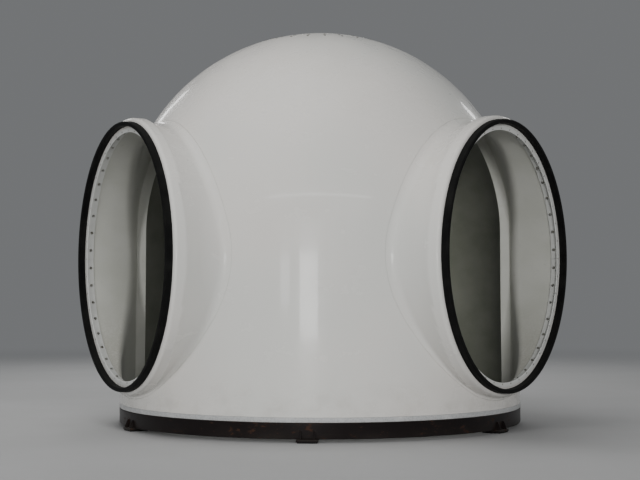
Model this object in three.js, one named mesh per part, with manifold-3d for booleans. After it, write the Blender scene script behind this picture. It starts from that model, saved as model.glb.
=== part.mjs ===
// Hub spinner of a three-bladed direct-drive wind turbine, standing nose up on its low storage stand.
// Millimetres, +Z up. The origin is on the floor, on the axis of the shell.
// The panel between two blade openings faces -Y, so the openings look to -150, -30 and +90 degrees.

import * as THREE from "three";
import { mergeVertices } from "three/addons/utils/BufferGeometryUtils.js";
import Module from "manifold-3d";

const wasm = await Module();
wasm.setup();

const radians = (degrees) => (degrees * Math.PI) / 180;

// Driving dimensions

const GAP = 0.3; // clearance kept between two touching pieces
const WALL = 14; // glass fibre laminate
const OPENINGS = { left: -150, right: -30, rear: 90 };
const PANELS = { front: -90, right: 30, left: 150 };

const STAND_HEIGHT = 200;
const BASE_RING_HEIGHT = 50;
const BASE_RADIUS = 2290;
const DOME_RADIUS = 2275;
const DOME_BASE = 2000; // height of the foot of the round dome above the stand
const CAP_RADIUS = 700;

const OPENING_HEIGHT = 1680; // centre of the blade openings above the bottom of the skirt
const OPENING_PLANE = 2370; // axis of the shell to the face of a collar, which carries the seal
const COLLAR_RADIUS = 1405;
const RIM_RADIUS = 1500; // the collar swells towards its end, round a foam core
const RIM_WIDTH = 120; // even band of the rim behind its face
const RIM_ROUNDING = 40;
const SEAL_OUTER = 1460;
const SEAL_INNER = 1410;
const SEAL_DEPTH = 75;
const RING_INNER = 1345;
const RING_DEPTH = 90;
const RING_WALL = 12;

const FLANGE_DEPTH = 80; // how far the panels' flanges reach inwards from the outer skin
const FLANGE_WALL = 12;
const RIB_DEPTH = 130; // how far the upright ribs reach inwards from the outer skin
const RIB_TURN = 19; // degrees from the middle of a panel to its ribs, which stand beside the openings
const BASE_RING_WIDTH = 140;

const STAND_RING_WIDTH = 120;
const FOOT_HEIGHT = 35;
const FOOT_SIZE = 220;
const FEET = 6;
const LUG_ANGLES = [30, 150];
const LUG_HALF_WIDTH = 160;
const LUG_RISE = 130; // how far the tip of a lug stands above the stand ring
const LUG_HOLE = 28;
const LUG_WALL = 20;

// Heights worked out from them

const BASE_Z = STAND_HEIGHT + GAP;
const SHELL_Z = STAND_HEIGHT + BASE_RING_HEIGHT + 2 * GAP;
const DOME_Z = STAND_HEIGHT + DOME_BASE;
const OPENING_Z = STAND_HEIGHT + OPENING_HEIGHT;
const ABOVE_COLLARS = DOME_Z + 0.5 * DOME_RADIUS;
const CLEAR_ABOVE = DOME_Z + 2 * DOME_RADIUS;

// Outline of the root of a collar, as radius and distance from the axis of the shell
const ROOT = [
  [COLLAR_RADIUS + 60, 1640],
  [COLLAR_RADIUS + 60, 1747],
  [COLLAR_RADIUS + 27, 1787],
  [COLLAR_RADIUS + 9, 1827],
  [COLLAR_RADIUS, 1875],
];
const COLLAR = [...ROOT, ...rim(ROOT[ROOT.length - 1][1])];
const BORE = [...ROOT, [COLLAR_RADIUS, OPENING_PLANE + 100]];

const ROUND = 48; // facets around the shell and the collars

// Outline of the outer side of a collar, from the end of its root over the rim to its face.
function rim(start) {
  const outline = [];
  const end = OPENING_PLANE - RIM_WIDTH;
  for (const share of [0.25, 0.5, 0.75, 1]) {
    const swell = (RIM_RADIUS - COLLAR_RADIUS) * share ** 2;
    outline.push([COLLAR_RADIUS + swell, start + (end - start) * share]);
  }
  for (const degrees of [0, 45, 90]) {
    const back = RIM_ROUNDING * (1 - Math.cos(radians(degrees)));
    const along = RIM_ROUNDING * (1 - Math.sin(radians(degrees)));
    outline.push([RIM_RADIUS - back, OPENING_PLANE - along]);
  }
  return outline;
}

// Turns a three.js geometry into a solid that can be joined and cut.
function solid(geometry) {
  const bare = geometry.index ? geometry.toNonIndexed() : geometry.clone();
  for (const name of Object.keys(bare.attributes)) {
    if (name !== "position") {
      bare.deleteAttribute(name);
    }
  }
  const merged = mergeVertices(bare, 1e-4);
  const mesh = new wasm.Mesh({
    numProp: 3,
    vertProperties: new Float32Array(merged.attributes.position.array),
    triVerts: new Uint32Array(merged.index.array),
  });
  return new wasm.Manifold(mesh);
}

// Turns a solid back into a three.js geometry.
function geometryOf(body) {
  const mesh = body.getMesh();
  const indexed = new THREE.BufferGeometry();
  indexed.setAttribute("position", new THREE.BufferAttribute(mesh.vertProperties, 3));
  indexed.setIndex(new THREE.BufferAttribute(mesh.triVerts, 1));
  const geometry = indexed.toNonIndexed();
  geometry.computeVertexNormals();
  return geometry;
}

// A profile of [radius, height] pairs turned about the Z axis.
function turned(profile) {
  const points = profile.map(([radius, height]) => new THREE.Vector2(radius, height));
  const geometry = new THREE.LatheGeometry(points, ROUND);
  geometry.rotateX(Math.PI / 2);
  return solid(geometry);
}

// A solid cylinder about the Z axis.
function plug(radius, bottom, top) {
  return turned([[0, bottom], [radius, bottom], [radius, top], [0, top]]);
}

// A ring of rectangular section about the Z axis.
function ring(inner, outer, bottom, top) {
  return turned([[inner, bottom], [outer, bottom], [outer, top], [inner, top], [inner, bottom]]);
}

// A solid made about the Z axis, laid down so that its axis looks out through an opening.
function laidOut(body, angle) {
  return body.rotate([0, 90, 0]).rotate([0, 0, angle]).translate([0, 0, OPENING_Z]);
}

// A box given by its size and centre, turned about the Z axis.
function box(size, centre, angle) {
  const geometry = new THREE.BoxGeometry(...size);
  geometry.translate(...centre);
  geometry.rotateZ(radians(angle));
  return solid(geometry);
}

// The sector of space between two blade openings, drawn back from both joint planes.
function sector(angle, draw) {
  const apex = draw / Math.sin(radians(60));
  const outline = new THREE.Shape();
  outline.moveTo(apex, 0);
  for (const turn of [-60, 0, 60]) {
    outline.lineTo(apex + 9000 * Math.cos(radians(turn)), 9000 * Math.sin(radians(turn)));
  }
  outline.closePath();
  const geometry = new THREE.ExtrudeGeometry(outline, { depth: CLEAR_ABOVE, bevelEnabled: false });
  geometry.rotateZ(radians(angle));
  return solid(geometry);
}

// The bell, a slightly tapered skirt under a round dome, drawn in by a distance all over.
function bell(inset, bottom) {
  const profile = [[0, bottom], [BASE_RADIUS - inset, bottom]];
  const reach = DOME_RADIUS - inset;
  const steps = 12;
  for (let step = 0; step < steps; step += 1) {
    const climb = (Math.PI / 2) * (step / steps);
    profile.push([reach * Math.cos(climb), DOME_Z + reach * Math.sin(climb)]);
  }
  profile.push([0, DOME_Z + reach]);
  return turned(profile);
}

// A solid within the outline of a collar or of its bore, grown by a distance.
function within(outline, growth, angle) {
  const side = outline.map(([radius, distance]) => [radius + growth, distance]);
  const first = outline[0][1];
  const last = outline[outline.length - 1][1];
  return laidOut(turned([[0, first], ...side, [0, last]]), angle);
}

// The collar of an opening, set through the hole in the panels and flush with their inner face.
function openingCollar(angle) {
  const tube = within(COLLAR, 0, angle).subtract(within(BORE, -WALL, angle));
  return tube.subtract(bell(WALL, SHELL_Z - 10));
}

// The holes in the bell that the collars are set in.
function collarHoles() {
  const [first, ...others] = Object.values(OPENINGS).map((angle) => within(COLLAR, GAP, angle));
  return others.reduce((holes, hole) => holes.add(hole), first);
}

// The skin of the bell with the flange around its skirt, before it is cut into panels.
function laminate(holes) {
  const skirtFlange = ring(BASE_RADIUS - FLANGE_DEPTH, BASE_RADIUS - WALL + 2, SHELL_Z, SHELL_Z + WALL);
  return bell(0, SHELL_Z).subtract(bell(WALL, SHELL_Z - 10)).subtract(holes).add(skirtFlange);
}

// A band just inside the skin from which flanges and ribs of one depth are cut.
function innerBand(depth) {
  const seat = plug(CAP_RADIUS + 100, ABOVE_COLLARS, CLEAR_ABOVE);
  return bell(WALL - 2, SHELL_Z).subtract(bell(depth, SHELL_Z - 10)).subtract(seat);
}

// The flanges turned inwards along the joints of a panel, above and below the openings.
function jointFlanges(holes, angle) {
  const edges = sector(angle, GAP / 2).subtract(sector(angle, FLANGE_WALL));
  return innerBand(FLANGE_DEPTH).subtract(holes).intersect(edges);
}

// The two upright ribs of a panel, from the skirt up to the ring under the nose.
function ribs(angle) {
  const [first, second] = [-RIB_TURN, RIB_TURN].map((turn) =>
    box([BASE_RADIUS, FLANGE_WALL, CLEAR_ABOVE], [BASE_RADIUS / 2, 0, CLEAR_ABOVE / 2], angle + turn));
  return innerBand(RIB_DEPTH).intersect(first.add(second));
}

// One of the three panels with its flanges and ribs.
function panel(whole, holes, angle) {
  const mouth = plug(CAP_RADIUS + GAP, ABOVE_COLLARS, CLEAR_ABOVE);
  const skin = whole.intersect(sector(angle, GAP / 2)).subtract(mouth);
  return skin.add(jointFlanges(holes, angle)).add(ribs(angle));
}

// The round cap that closes the nose.
function noseCap() {
  const skin = bell(0, SHELL_Z).subtract(bell(WALL, SHELL_Z));
  return skin.intersect(plug(CAP_RADIUS, ABOVE_COLLARS, CLEAR_ABOVE));
}

// The ring under the nose that ties the cap to the three panels.
function noseRing() {
  const skin = bell(WALL + GAP, SHELL_Z).subtract(bell(2 * WALL, SHELL_Z));
  return skin.intersect(ring(CAP_RADIUS - 90, CAP_RADIUS + 90, ABOVE_COLLARS, CLEAR_ABOVE));
}

// The angle-section ring inside the end of a collar that clamps the seal.
function openingRing(angle) {
  const outer = COLLAR_RADIUS - WALL - GAP;
  const section = [
    [outer, OPENING_PLANE - RING_DEPTH],
    [outer, OPENING_PLANE],
    [RING_INNER, OPENING_PLANE],
    [RING_INNER, OPENING_PLANE - RING_WALL],
    [outer - RING_WALL, OPENING_PLANE - RING_WALL],
    [outer - RING_WALL, OPENING_PLANE - RING_DEPTH],
    [outer, OPENING_PLANE - RING_DEPTH],
  ];
  return laidOut(turned(section), angle);
}

// The rubber seal around an opening.
function seal(angle) {
  const start = OPENING_PLANE + GAP;
  return laidOut(ring(SEAL_INNER, SEAL_OUTER, start, start + SEAL_DEPTH), angle);
}

// The metal ring section under the skirt of one panel.
function baseRing(angle) {
  const whole = ring(BASE_RADIUS - BASE_RING_WIDTH, BASE_RADIUS, BASE_Z, BASE_Z + BASE_RING_HEIGHT);
  return whole.intersect(sector(angle, GAP / 2));
}

// A triangular lifting lug that stands up in front of the skirt.
function lug(angle) {
  const bottom = FOOT_HEIGHT + 25;
  const outline = new THREE.Shape();
  outline.moveTo(-LUG_HALF_WIDTH, bottom);
  outline.lineTo(LUG_HALF_WIDTH, bottom);
  outline.lineTo(45, STAND_HEIGHT + LUG_RISE);
  outline.lineTo(-45, STAND_HEIGHT + LUG_RISE);
  outline.closePath();
  const hole = new THREE.Path();
  hole.absarc(0, STAND_HEIGHT + LUG_RISE - 60, LUG_HOLE, 0, 2 * Math.PI, true);
  outline.holes.push(hole);
  const plate = new THREE.ExtrudeGeometry(outline, { depth: LUG_WALL, bevelEnabled: false, curveSegments: 8 });
  plate.rotateX(Math.PI / 2);
  plate.rotateZ(Math.PI / 2);
  plate.translate(BASE_RADIUS + 4, 0, 0);
  plate.rotateZ(radians(angle));
  const root = box([60, 2 * LUG_HALF_WIDTH - 60, 100], [BASE_RADIUS - 16, 0, bottom + 60], angle);
  return solid(plate).add(root);
}

// One third of the ring of the stand, with its lifting lug where it has one.
function standRing(angle) {
  const inner = BASE_RADIUS - STAND_RING_WIDTH;
  let part = ring(inner, BASE_RADIUS, FOOT_HEIGHT + GAP, STAND_HEIGHT).intersect(sector(angle, GAP / 2));
  if (LUG_ANGLES.includes(angle)) {
    part = part.add(lug(angle));
  }
  return part;
}

// A foot under the stand ring.
function foot(angle) {
  const middle = BASE_RADIUS - STAND_RING_WIDTH / 2;
  return box([FOOT_SIZE, FOOT_SIZE, FOOT_HEIGHT], [middle, 0, FOOT_HEIGHT / 2], angle);
}

// Finishes

const finishes = {
  gelcoat: { color: 0xd9d8d4, roughness: 0.22, metalness: 0 },
  clamp: { color: 0xc9cbc6, roughness: 0.4, metalness: 0.1 },
  rubber: { color: 0x14151a, roughness: 0.7, metalness: 0 },
  steel: { color: 0x8e9291, roughness: 0.5, metalness: 0.7 },
  black: { color: 0x17181b, roughness: 0.6, metalness: 0.2 },
};

const group = new THREE.Group();
group.name = "hub_spinner";

function place(name, body, finish) {
  const mesh = new THREE.Mesh(geometryOf(body), new THREE.MeshStandardMaterial(finishes[finish]));
  mesh.name = name;
  group.add(mesh);
}

const holes = collarHoles();
const whole = laminate(holes);
for (const [side, angle] of Object.entries(PANELS)) {
  place(`shell_panel_${side}`, panel(whole, holes, angle), "gelcoat");
  place(`base_ring_${side}`, baseRing(angle), "steel");
  place(`stand_ring_${side}`, standRing(angle), "black");
}
place("nose_cap", noseCap(), "gelcoat");
place("nose_ring", noseRing(), "steel");
for (const [side, angle] of Object.entries(OPENINGS)) {
  place(`opening_collar_${side}`, openingCollar(angle), "gelcoat");
  place(`opening_ring_${side}`, openingRing(angle), "clamp");
  place(`opening_seal_${side}`, seal(angle), "rubber");
}
for (let index = 0; index < FEET; index += 1) {
  place(`stand_foot_${index + 1}`, foot(-90 + (360 / FEET) * index), "black");
}

export default group;
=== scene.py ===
"""Dressed model of the hub spinner of a three-bladed wind turbine, nose up on its low storage stand.

Metres, +Z up, in the same frame as the solids: the origin is on the floor, on the axis of the shell.
"""

import logging
import math
from dataclasses import dataclass, replace
from enum import Enum
from typing import Iterable, Optional, Sequence, Union

import bmesh
import bpy
import numpy as np
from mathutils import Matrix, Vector


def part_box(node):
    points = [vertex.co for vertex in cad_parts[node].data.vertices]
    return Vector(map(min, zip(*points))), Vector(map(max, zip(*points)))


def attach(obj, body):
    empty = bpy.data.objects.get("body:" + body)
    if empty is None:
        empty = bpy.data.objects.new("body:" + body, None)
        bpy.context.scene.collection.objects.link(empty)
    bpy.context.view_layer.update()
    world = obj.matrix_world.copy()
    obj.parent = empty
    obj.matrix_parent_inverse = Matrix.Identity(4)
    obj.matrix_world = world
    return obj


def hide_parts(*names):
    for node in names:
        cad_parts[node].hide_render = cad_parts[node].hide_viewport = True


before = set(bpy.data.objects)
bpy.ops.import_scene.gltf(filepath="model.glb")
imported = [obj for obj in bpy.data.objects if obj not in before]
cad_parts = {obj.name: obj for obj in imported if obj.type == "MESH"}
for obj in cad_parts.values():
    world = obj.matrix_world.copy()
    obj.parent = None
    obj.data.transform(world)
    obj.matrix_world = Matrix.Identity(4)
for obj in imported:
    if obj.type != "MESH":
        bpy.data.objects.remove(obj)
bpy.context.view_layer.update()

log = logging.getLogger("spinner")

WALL = 0.014  # glass fibre laminate
HALF_JOINT = 0.0006  # half the hairline between two mouldings
EDGE = 0.0008  # rounding of a moulding's edge
EDGE_BAND = 0.002  # width of skin that the rounding takes up
FIT = 0.0005  # clearance between pieces that fit into each other
REST = 0.0004  # clearance under a piece that lies on another
AIR = (0.17, 0.175, 0.18)  # colour of the studio far from the part

Array = np.ndarray
UP = np.array([0.0, 0.0, 1.0])


# Directions


def unit(vectors: Array) -> Array:
    """The vectors at length one."""
    return vectors / np.maximum(np.linalg.norm(vectors, axis=-1, keepdims=True), 1e-12)


def ray(turn: float) -> Array:
    """The level direction at an angle in radians from +X."""
    return np.array([math.cos(turn), math.sin(turn), 0.0])


def full_turn(steps: int) -> Array:
    """Angles all the way round, in radians."""
    return np.linspace(0, 2 * math.pi, steps, endpoint=False)


def halfway(count: int) -> Array:
    """The middles of equal shares of one."""
    return (np.arange(count) + 0.5) / count


@dataclass(frozen=True)
class Axes:
    """A local set of directions: out along an axis, and side and up across it."""

    origin: Array
    side: Array
    up: Array
    out: Array

    @classmethod
    def level(cls, origin: Array, turn: float) -> "Axes":
        """Axes with up vertical and out level, at an angle in radians from +X."""
        return cls(origin, np.cross(UP, ray(turn)), UP, ray(turn))

    @classmethod
    def standing(cls, origin: Array, out: Array, along: Array) -> "Axes":
        """Axes for something that stands on a surface, with side close to a direction along it."""
        up = unit(np.cross(unit(out), along))
        return cls(origin, np.cross(up, unit(out)), up, unit(out))


UPRIGHT = Axes(np.zeros(3), *np.eye(3))


def ring_places(turns: Iterable[float], reach: float, height: float, out: tuple, along: tuple) -> list[Axes]:
    """Axes for fasteners around an upright axis, with out and along given as parts away from it and up."""
    spots = [(reach, height), out, along]
    return [Axes.standing(*(away * ray(turn) + up * UP for away, up in spots)) for turn in turns]


# Meshes


@dataclass
class Patch:
    """Part of a piece: points, faces, the shading normals of its points and the number of its finish."""

    points: Array
    faces: list[tuple[int, ...]]
    normals: Optional[Array] = None
    finish: int = 0

    def placed(self, axes: Axes, mirrored: bool = False) -> "Patch":
        """The same patch with its points read as side, up and out in some axes.

        Args:
            axes: the axes that the points are given in.
            mirrored: whether the side direction is turned round.

        Returns:
            The patch in the frame of the part.
        """
        basis = np.array([axes.side * (-1.0 if mirrored else 1.0), axes.up, axes.out])
        faces = [face[::-1] for face in self.faces] if mirrored else self.faces
        normals = None if self.normals is None else self.normals @ basis
        return Patch(axes.origin + self.points @ basis, faces, normals, self.finish)


def joined(patches: Iterable[Patch]) -> Patch:
    """Several patches as one, which takes the finish of the first.

    Args:
        patches: the patches, either all with normals or all without.

    Returns:
        One patch.
    """
    patches = list(patches)
    faces = []
    base = 0
    for patch in patches:
        faces.extend(tuple(base + corner for corner in face) for face in patch.faces)
        base += len(patch.points)
    normals = None if patches[0].normals is None else np.vstack([patch.normals for patch in patches])
    return Patch(np.vstack([patch.points for patch in patches]), faces, normals, patches[0].finish)


def scattered(template: Patch, places: Iterable[Axes]) -> Patch:
    """Copies of a patch at several places, as one patch."""
    return joined(template.placed(place) for place in places)


def skin(points: Array, normals: Array, finish: int = 0, loop: bool = False) -> Patch:
    """A smooth sheet over a grid of points, facing the way its normals point.

    Args:
        points: rows by columns of points.
        normals: the surface's own normals at those points.
        finish: number of the finish.
        loop: whether the last row joins the first.

    Returns:
        The sheet.
    """
    rows, columns = points.shape[:2]
    index = np.arange(rows * columns).reshape(rows, columns)
    if loop:
        index = np.vstack([index, index[:1]])
    quads = np.stack([index[:-1, :-1], index[1:, :-1], index[1:, 1:], index[:-1, 1:]], -1).reshape(-1, 4)
    flat, shading = points.reshape(-1, 3), unit(normals.reshape(-1, 3))
    corner, along, _, across = quads[len(quads) // 2]
    if np.cross(flat[along] - flat[corner], flat[across] - flat[corner]) @ shading[corner] < 0:
        quads = quads[:, ::-1]
    return Patch(flat, [tuple(quad) for quad in quads.tolist()], shading, finish)


def moulding(points: Array, normals: Array, borders: Sequence[tuple], loop: bool = False,
             lining: Optional[tuple[Array, Array]] = None) -> list[Patch]:
    """Outer skin, lining and rounded, cut edges of a laminate moulding.

    Args:
        points: grid of points of the outer skin.
        normals: their normals.
        borders: where each edge and the points beside it are in the grid.
        loop: whether the last row joins the first.
        lining: points and outward normals of the inner skin, where it doesn't follow the outer one.

    Returns:
        The outer skin in the first finish, and the lining and edges in the second.
    """
    inner, outward = lining if lining else (points - normals * WALL, normals)
    outer, shading, facing = points.copy(), normals.copy(), []
    for border, beside in borders:
        away = points[border] - points[beside]
        away = unit(away - (away * normals[border]).sum(-1, keepdims=True) * normals[border])
        outer[border] = points[border] - normals[border] * EDGE
        shading[border] = unit(normals[border] + away)
        facing.append(away)
    patches = [skin(outer, shading, 0, loop), skin(inner, -outward, 1, loop)]
    for (border, _), away in zip(borders, facing):
        patches.append(skin(np.stack([outer[border], inner[border]], 1), np.stack([away, away], 1), 1, loop))
    return patches


def revolved(section: Array, normals: Array, turn: Array) -> list[Array]:
    """Grids of points and normals from a section that is turned about its axis.

    Args:
        section: radius and distance out of each point.
        normals: their normals, given in the same way.
        turn: angles around the axis, in radians.

    Returns:
        The points and the normals, a row for each angle.
    """
    rays = np.column_stack([np.cos(turn), np.sin(turn)])[:, None]
    return [np.concatenate([pairs[None, :, :1] * rays, np.repeat(pairs[None, :, 1:], len(turn), 0)], -1)
            for pairs in (section, normals)]


def rounded(corners: Sequence[tuple[float, float, float]], steps: int = 4) -> Array:
    """A closed outline whose corners are arcs.

    Args:
        corners: each corner as two coordinates and its radius.
        steps: number of straight bits in each arc.

    Returns:
        The points of the outline.
    """
    made = []
    for index, (x, y, radius) in enumerate(corners):
        here = np.array([x, y])
        before = unit(np.array(corners[index - 1][:2]) - here)
        after = unit(np.array(corners[(index + 1) % len(corners)][:2]) - here)
        if radius <= 0:
            made.append(here)
            continue
        half = 0.5 * math.acos(float(np.clip(before @ after, -1, 1)))
        centre = here + unit(before + after) * radius / math.sin(half)
        start, stop = here + before * radius / math.tan(half), here + after * radius / math.tan(half)
        for step in range(steps + 1):
            chord = start + (stop - start) * step / steps
            made.append(centre + unit(chord - centre) * radius)
    return np.array(made)


def rectangle(low: tuple[float, float], high: tuple[float, float], radius: float, steps: int = 4) -> Array:
    """A rectangle between two corners, with all four rounded."""
    corners = (low, (high[0], low[1]), high, (low[0], high[1]))
    return rounded([(*corner, radius) for corner in corners], steps)


def circle(radius: float, count: int) -> Array:
    """Points around a circle."""
    return radius * np.column_stack([np.cos(full_turn(count)), np.sin(full_turn(count))])


def lofted(rings: Array, loop: bool = False) -> Patch:
    """A body through a row of closed outlines with the same number of points.

    Args:
        rings: the outlines' points, outline by outline.
        loop: whether the last outline joins the first.

    Returns:
        The body, with its ends closed.
    """
    index = np.arange(rings.shape[0] * rings.shape[1]).reshape(rings.shape[:2])
    low = index if loop else index[:-1]
    high = np.roll(index, -1, 0)[: len(low)]
    quads = np.stack([low, np.roll(low, -1, 1), np.roll(high, -1, 1), high], -1).reshape(-1, 4)
    ends = [] if loop else [index[0, ::-1], index[-1]]
    faces = [tuple(face.tolist()) for face in (*quads, *ends)]
    return Patch(rings.reshape(-1, 3), faces)


def swept(section: Array, origins: Array, across: Array, along: Array, loop: bool = False) -> Patch:
    """A section carried along a row of origins, its coordinates lying across and along at each."""
    first, second = section[None, :, :1], section[None, :, 1:]
    return lofted(origins[:, None] + first * across[:, None] + second * along[:, None], loop)


def turned(section: Array, axes: Axes, start: float = 0.0, stop: float = 360.0, steps: int = 144) -> Patch:
    """A section of radius and distance along an axis, turned about that axis.

    Args:
        section: closed outline as pairs of radius and distance.
        axes: the axes, with out along the turning axis.
        start: first angle in degrees, from side towards up.
        stop: last angle in degrees.
        steps: number of steps between them.

    Returns:
        A ring, or an arc of one with closed ends.
    """
    loop = stop - start >= 360.0
    angles = np.radians(np.linspace(start, stop, steps + 1))[: steps if loop else None, None]
    across = np.cos(angles) * axes.side + np.sin(angles) * axes.up
    origins, along = (np.tile(vector, (len(angles), 1)) for vector in (axes.origin, axes.out))
    return swept(section, origins, across, along, loop)


def stacked(outline: Array, levels: Sequence[tuple[float, float]]) -> Patch:
    """A body that has an outline at several levels, drawn in by its own distance at each.

    Args:
        outline: closed outline around zero.
        levels: for each level, how far the outline is drawn in and its height.

    Returns:
        The body.
    """
    half = np.abs(outline).max()
    rings = [np.column_stack([outline * (1.0 - inset / half), np.full(len(outline), height)])
             for inset, height in levels]
    return lofted(np.array(rings))


def pierced_plate(outline: Array, hole: Array, wall: float) -> Patch:
    """A flat plate with one round hole.

    Args:
        outline: closed outline of the plate.
        hole: closed outline of the hole.
        wall: thickness, from nought outwards.

    Returns:
        A closed body.
    """
    work = bmesh.new()
    edges = []
    for loop in (outline, hole):
        corners = [work.verts.new((x, y, 0.0)) for x, y in loop]
        edges.extend(work.edges.new((corners[index - 1], corner)) for index, corner in enumerate(corners))
    bmesh.ops.triangle_fill(work, edges=edges, use_beauty=True)
    drawn = bmesh.ops.extrude_face_region(work, geom=work.faces[:])["geom"]
    lifted = [item for item in drawn if isinstance(item, bmesh.types.BMVert)]
    bmesh.ops.translate(work, vec=(0, 0, wall), verts=lifted)
    bmesh.ops.recalc_face_normals(work, faces=work.faces)
    work.verts.index_update()
    points = np.array([vert.co[:] for vert in work.verts])
    faces = [tuple(vert.index for vert in face.verts) for face in work.faces]
    work.free()
    return Patch(points, faces)


def linked(name: str, data: bpy.types.ID) -> bpy.types.Object:
    """A new object in the scene.

    Args:
        name: its name.
        data: its mesh, light or camera.

    Returns:
        The object.
    """
    made = bpy.data.objects.new(name, data)
    bpy.context.scene.collection.objects.link(made)
    return made


class Piece:
    """Gathers patches and makes one object of them."""

    MERGE = 1e-5
    OFFSET = 0.31830989 * 1e-5  # keeps round numbers off the edges of the merging grid

    def __init__(self, name: str, finishes: Sequence["Finish"], crease: float = 32.0) -> None:
        """Starts an empty piece, whose edges are sharp past the crease angle, in degrees."""
        self.name, self.finishes, self.crease = name, finishes, crease
        self.patches: list[Patch] = []

    def add(self, *patches: Patch) -> "Piece":
        """Takes in patches and returns the piece."""
        self.patches.extend(patches)
        return self

    def make(self, slot: str, *nodes: str) -> None:
        """Makes the object, which rides on the part.

        Args:
            slot: the record's material slot; not used.
            nodes: the nodes that the piece stands for.
        """
        piece = linked(self.name, self._mesh())
        for finish in self.finishes:
            piece.data.materials.append(finish.material())
        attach(piece, "root")
        if nodes:
            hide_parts(*nodes)
        log.info("%s: %d faces", self.name, len(piece.data.polygons))

    def _mesh(self) -> bpy.types.Mesh:
        """The mesh, shaded by its patches' normals, or facing outwards and sharp past the crease angle.

        Returns:
            The mesh.
        """
        whole = joined(self.patches)
        mesh = bpy.data.meshes.new(self.name)
        if whole.normals is None:
            mesh.from_pydata(whole.points.tolist(), [], whole.faces)
            work = bmesh.new()
            work.from_mesh(mesh)
            bmesh.ops.recalc_face_normals(work, faces=work.faces)
            work.to_mesh(mesh)
            work.free()
        else:
            keys = np.round((whole.points + self.OFFSET) / self.MERGE).astype(np.int64)
            _, first, number = np.unique(keys, axis=0, return_index=True, return_inverse=True)
            number = number.reshape(-1).tolist()
            faces = [tuple(number[corner] for corner in face) for face in whole.faces]
            mesh.from_pydata(whole.points[first].tolist(), [], faces)
        numbers = np.concatenate([np.full(len(patch.faces), patch.finish) for patch in self.patches])
        mesh.polygons.foreach_set("material_index", numbers.astype(np.int32))
        mesh.polygons.foreach_set("use_smooth", np.ones(len(numbers), bool))
        if whole.normals is None:
            mesh.set_sharp_from_angle(angle=math.radians(self.crease))
        else:
            mesh.update()
            mesh.normals_split_custom_set(whole.normals[np.concatenate(whole.faces)].tolist())
        return mesh


# Finishes


@dataclass(frozen=True)
class Value:
    """A number that varies over a surface. Expressions on values add the Math nodes that work them out."""

    sheet: "ShaderSheet"
    socket: bpy.types.NodeSocket

    def _math(self, operation: str, *operands: Union["Value", float]) -> "Value":
        """The result of a Math node on values or plain numbers."""
        return self.sheet.value("ShaderNodeMath", {"operation": operation}, dict(enumerate(operands)))

    def __add__(self, other: Union["Value", float]) -> "Value":
        """Sum."""
        return self._math("ADD", self, other)

    __radd__ = __add__

    def __sub__(self, other: Union["Value", float]) -> "Value":
        """Difference."""
        return self._math("SUBTRACT", self, other)

    def __rsub__(self, other: float) -> "Value":
        """Difference from a plain number."""
        return self._math("SUBTRACT", other, self)

    def __mul__(self, other: Union["Value", float]) -> "Value":
        """Product."""
        return self._math("MULTIPLY", self, other)

    __rmul__ = __mul__

    def __truediv__(self, other: Union["Value", float]) -> "Value":
        """Quotient."""
        return self._math("DIVIDE", self, other)

    def root(self) -> "Value":
        """The square root."""
        return self._math("SQRT", self)

    def rising(self, low: float, high: float) -> "Value":
        """Nought below low, one above high, and a smooth rise between."""
        sockets = {0: self, 1: low, 2: high, 3: 0.0, 4: 1.0}
        return self.sheet.value("ShaderNodeMapRange", {"interpolation_type": "SMOOTHSTEP"}, sockets)


Feed = Union[Value, bpy.types.NodeSocket, float, tuple]


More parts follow.
